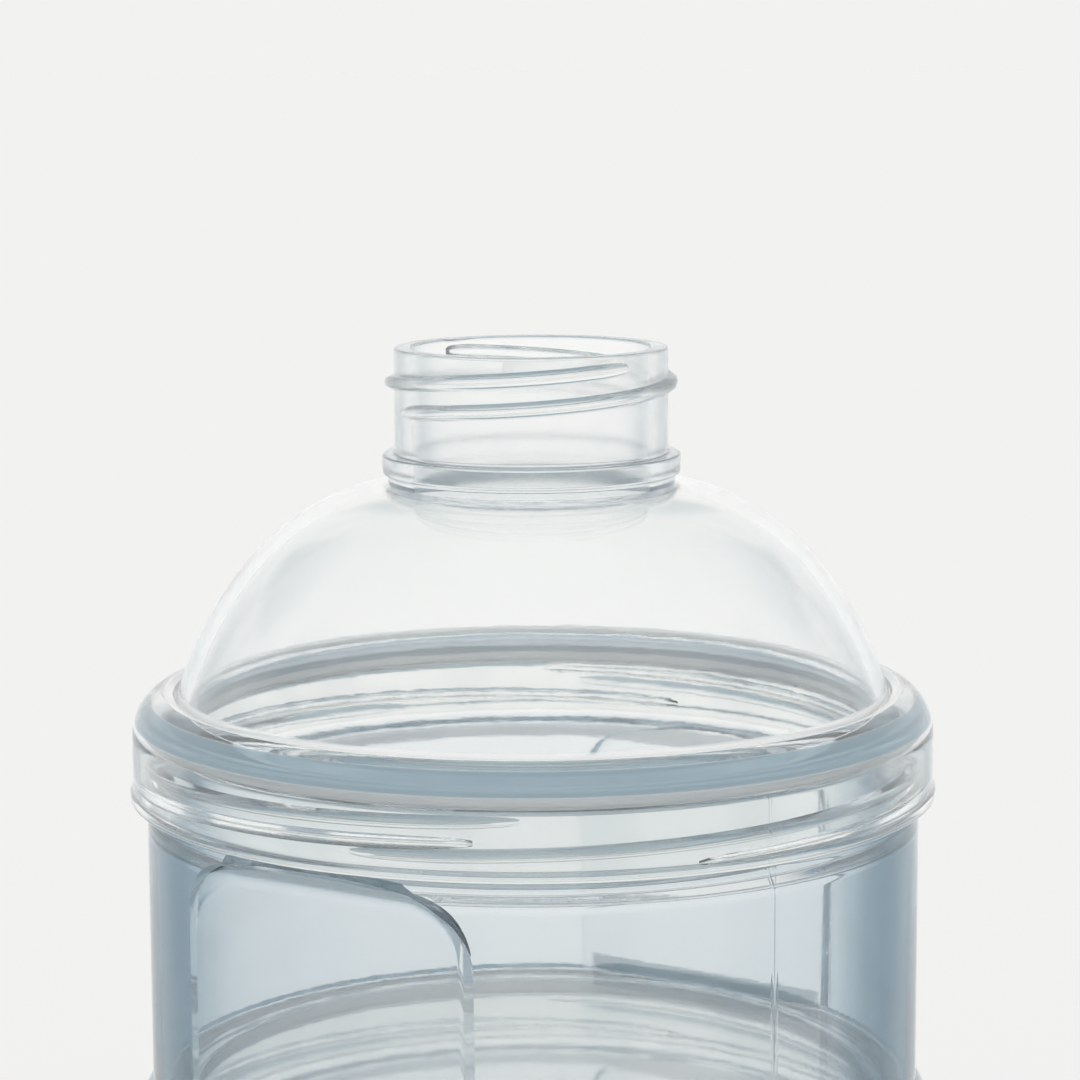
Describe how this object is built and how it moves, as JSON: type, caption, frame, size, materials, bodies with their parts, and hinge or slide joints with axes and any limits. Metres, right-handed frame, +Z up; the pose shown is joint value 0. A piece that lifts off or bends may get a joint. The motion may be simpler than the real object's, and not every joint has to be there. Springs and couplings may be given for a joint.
{
  "type": "formula dispenser",
  "caption": "Stackable baby formula dispenser: domed pouring lid with an open screw spout on round translucent compartments with recessed grips, screwed one on another.",
  "frame": {"origin": "centre of the ring that the lowest skirt stands on", "axes": "+Z up along the axis that every piece turns on; -Y is the front, and the two grip recesses of each compartment face front left and rear right"},
  "size_m": [0.0882, 0.0882, 0.1766],
  "materials": {
    "clear_polypropylene": "translucent, faintly bluish, smooth moulded",
    "clear_silicone": "translucent, satin"
  },
  "bodies": {
    "compartment_bottom": {"compartment_bottom": "clear_polypropylene"},
    "washer_lower": {"washer_lower": "clear_silicone"},
    "compartment_middle": {"compartment_middle": "clear_polypropylene"},
    "washer_middle": {"washer_middle": "clear_silicone"},
    "compartment_top": {"compartment_top": "clear_polypropylene"},
    "washer_upper": {"washer_upper": "clear_silicone"},
    "pouring_lid": {"pouring_lid": "clear_polypropylene"}
  },
  "joints": [
    {"name": "middle_rise", "type": "slide", "parent": "compartment_bottom", "child": "washer_lower", "axis": [0, 0, 1], "range_m": [0, 0.003]},
    {"name": "middle_turn", "type": "hinge", "parent": "washer_lower", "child": "compartment_middle", "pos_m": [0, 0, 0.0427], "axis": [0, 0, 1], "range_deg": [0, 160]},
    {"name": "top_rise", "type": "slide", "parent": "compartment_middle", "child": "washer_middle", "axis": [0, 0, 1], "range_m": [0, 0.003]},
    {"name": "top_turn", "type": "hinge", "parent": "washer_middle", "child": "compartment_top", "pos_m": [0, 0, 0.0854], "axis": [0, 0, 1], "range_deg": [0, 160]},
    {"name": "lid_rise", "type": "slide", "parent": "compartment_top", "child": "washer_upper", "axis": [0, 0, 1], "range_m": [0, 0.003]},
    {"name": "lid_turn", "type": "hinge", "parent": "washer_upper", "child": "pouring_lid", "pos_m": [0, 0, 0.1281], "axis": [0, 0, 1], "range_deg": [0, 160]}
  ],
  "couplings": [
    {"joint": "middle_rise", "follows": "middle_turn", "m_per_rad": 0.0010742},
    {"joint": "top_rise", "follows": "top_turn", "m_per_rad": 0.0010742},
    {"joint": "lid_rise", "follows": "lid_turn", "m_per_rad": 0.0010742}
  ]
}
